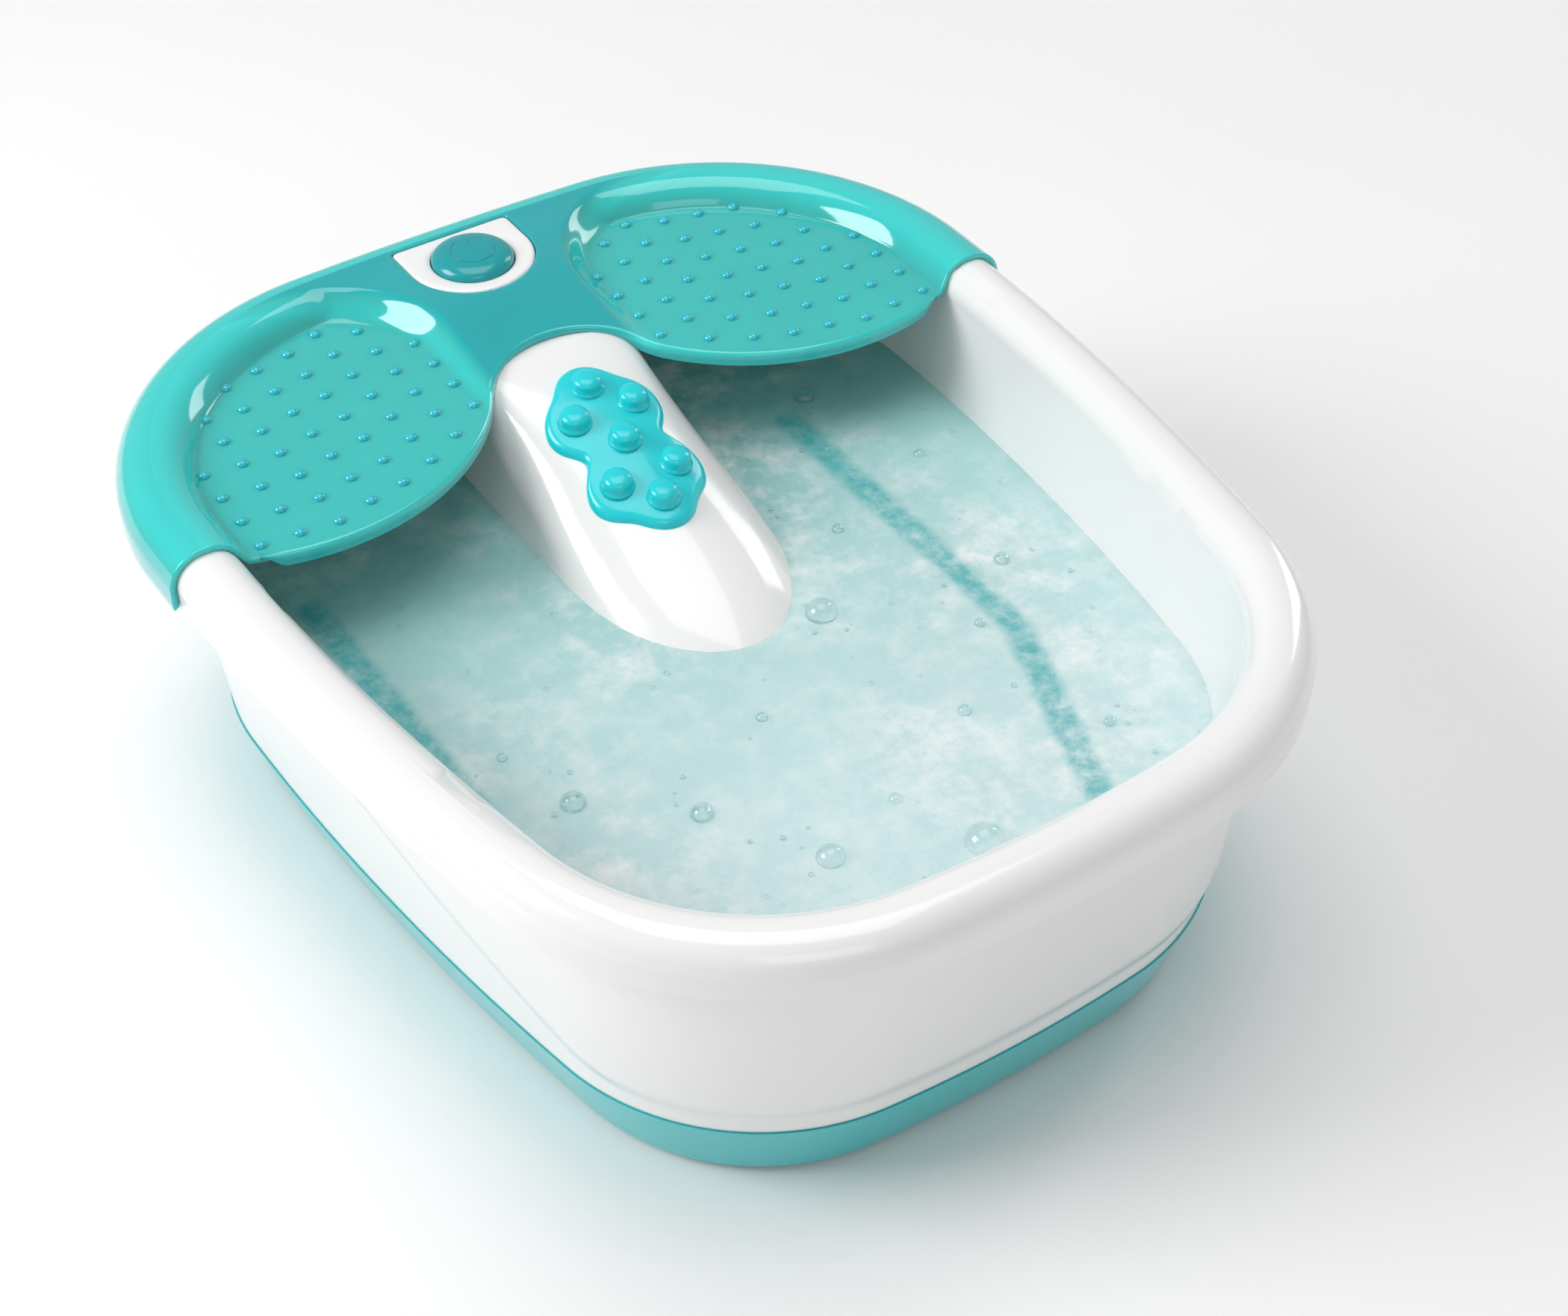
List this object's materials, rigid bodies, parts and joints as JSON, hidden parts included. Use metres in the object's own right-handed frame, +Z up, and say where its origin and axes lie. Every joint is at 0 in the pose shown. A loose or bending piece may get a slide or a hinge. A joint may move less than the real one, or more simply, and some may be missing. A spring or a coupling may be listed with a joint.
{
  "type": "foot spa basin",
  "caption": "Oval foot spa basin with a rolled rim, a lift-off rear splash guard with studded pans, a sprung power button, a central console with a massage pad, and air bubble strips.",
  "frame": {"origin": "middle of the basin's plan, on the surface that its four feet stand on", "axes": "+Z up, +X to the right, +Y to the back, where the splash guard and the power button are"},
  "size_m": [0.352, 0.4194, 0.1495],
  "materials": {
    "white_shell": "glossy moulded",
    "turquoise_base": "glossy moulded",
    "turquoise_clear": "translucent glossy",
    "turquoise_button": "glossy moulded",
    "pad_rubber": "smooth soft",
    "steel": "plain",
    "brass_weight": "plain",
    "black_rubber": "matt",
    "clear_rubber": "milky",
    "dark_plastic": "fine grain",
    "board_green": "lacquered",
    "copper": "enamelled wire",
    "heater_metal": "plain",
    "lead_cover": "smooth"
  },
  "bodies": {
    "basin": {"tub": "white_shell", "outer_housing": "white_shell", "base_tray": "turquoise_base", "control_panel": "white_shell", "button_spring": "steel", "stem_seal": "black_rubber", "power_switch": "dark_plastic", "circuit_board": "board_green", "board_components": "dark_plastic", "board_screws": "steel", "massage_pad": "pad_rubber", "air_tee": "dark_plastic", "air_tube_main": "clear_rubber", "air_tube_left": "clear_rubber", "air_tube_right": "clear_rubber", "pump_case": "dark_plastic", "pump_lid": "dark_plastic", "pump_coil": "copper", "pump_grommets": "black_rubber", "motor_can": "steel", "motor_clamp": "dark_plastic", "heater_plate": "heater_metal", "thermostat": "steel", "pump_lead": "lead_cover", "motor_lead": "lead_cover", "heater_lead": "lead_cover", "cord_inlet": "black_rubber", "base_screws": "steel", "bubble_strip_left": "turquoise_base", "bubble_strip_right": "turquoise_base", "rubber_foot_1": "black_rubber", "rubber_foot_2": "black_rubber", "rubber_foot_3": "black_rubber", "rubber_foot_4": "black_rubber"},
    "guard": {"splash_guard": "turquoise_clear"},
    "button": {"power_button": "turquoise_button", "stem_clip": "steel"},
    "rotor": {"motor_shaft": "steel", "eccentric_weight": "brass_weight"}
  },
  "joints": [
    {"name": "guard_lift", "type": "slide", "parent": "basin", "child": "guard", "axis": [0, 0, 1], "range_m": [0, 0.08]},
    {"name": "button_press", "type": "slide", "parent": "basin", "child": "button", "axis": [0, 0, -1], "range_m": [0, 0.003], "stiffness_N_per_m": 400, "springref_m": -0.002, "deforming": ["button_spring"]},
    {"name": "motor_spin", "type": "hinge", "parent": "basin", "child": "rotor", "pos_m": [0, -0.085, 0.019], "axis": [1, 0, 0], "continuous": true}
  ]
}
